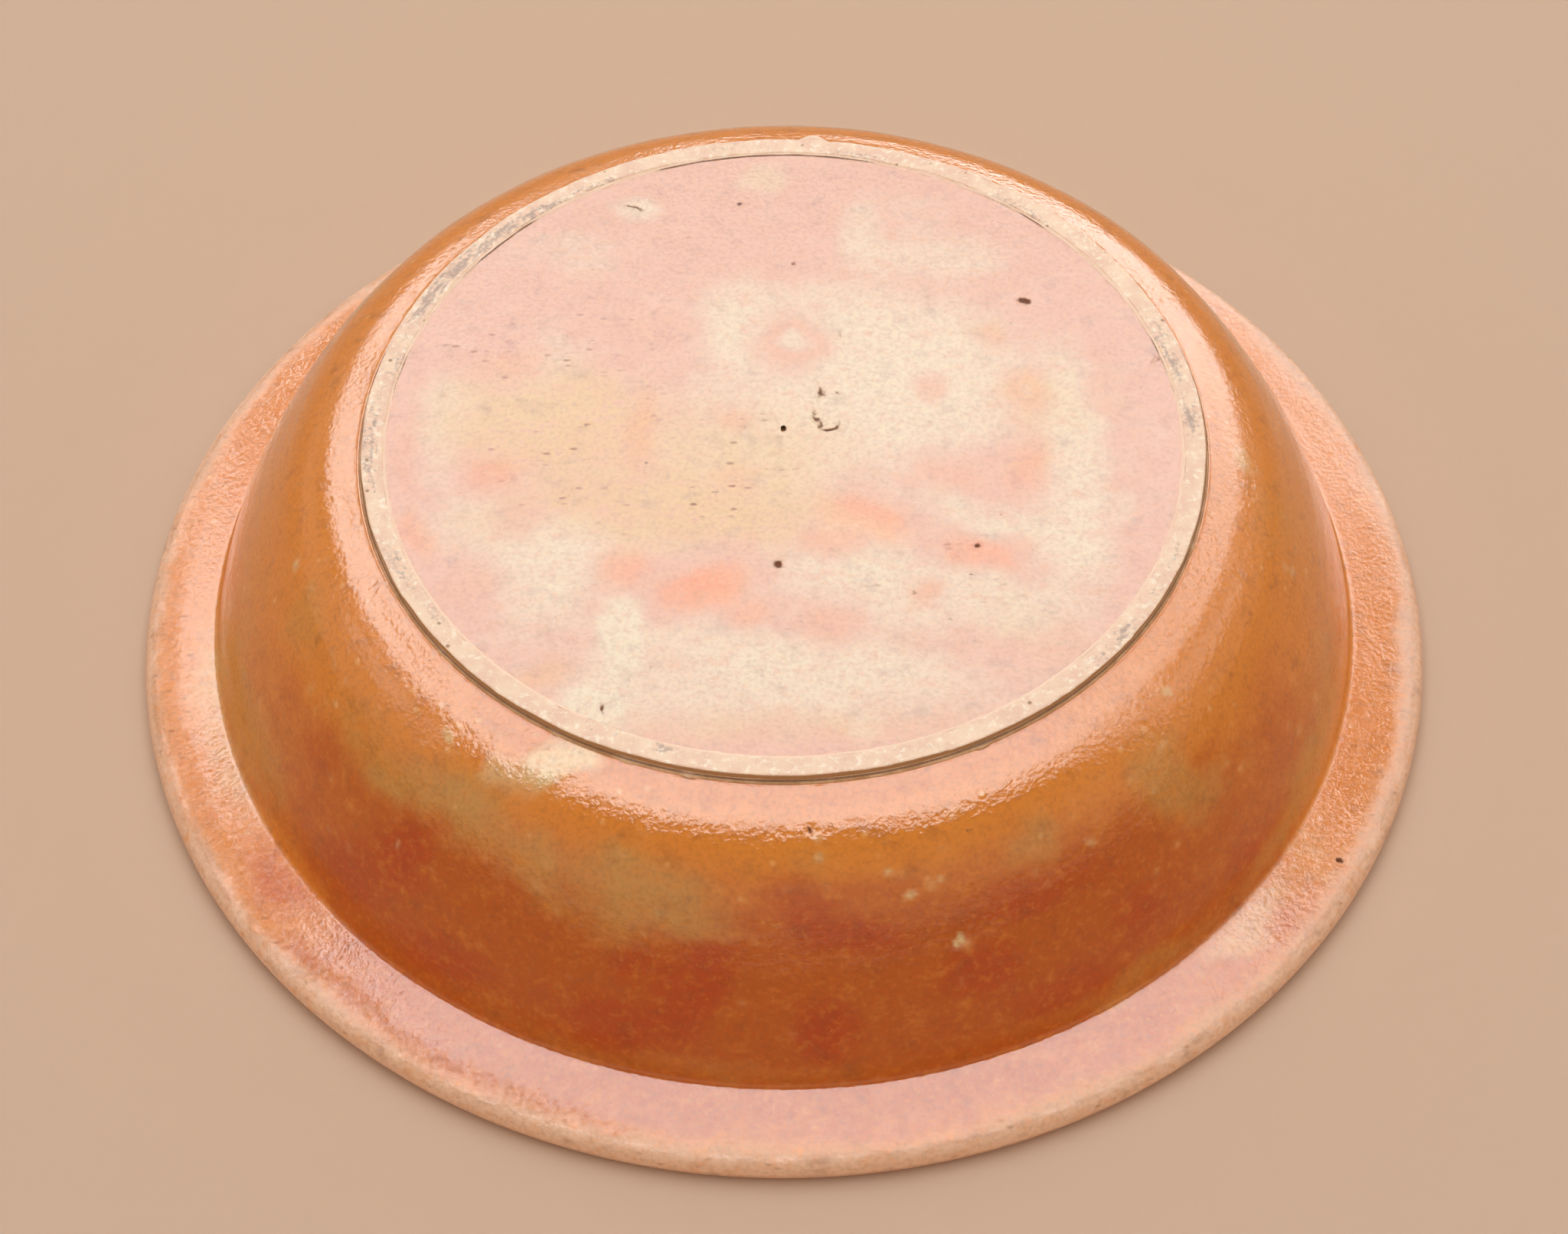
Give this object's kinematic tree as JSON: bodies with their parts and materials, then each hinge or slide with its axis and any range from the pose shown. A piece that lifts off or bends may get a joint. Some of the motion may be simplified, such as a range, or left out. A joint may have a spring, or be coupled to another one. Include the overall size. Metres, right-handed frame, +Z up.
{
  "type": "serving dish",
  "caption": "Round footed serving dish in mottled amber glazed earthenware, with a deep rounded wall, a narrow flanged rim and a bare foot ring, for holding and serving food.",
  "frame": {"origin": "centre of the foot ring's tread, on the surface that the dish stands on", "axes": "+Z up along the axis of the dish, from the foot to the open side; X and Y are free, because the dish is round"},
  "size_m": [0.24, 0.24, 0.0535],
  "materials": {
    "clay": "matte",
    "slip": "matte",
    "glaze": "gloss"
  },
  "bodies": {
    "root": {"dish_body": "clay", "foot_ring": "clay", "outer_seam": "slip", "inner_seam": "slip", "inner_glaze": "glaze", "outer_glaze": "glaze", "base_glaze": "glaze"}
  },
  "joints": []
}
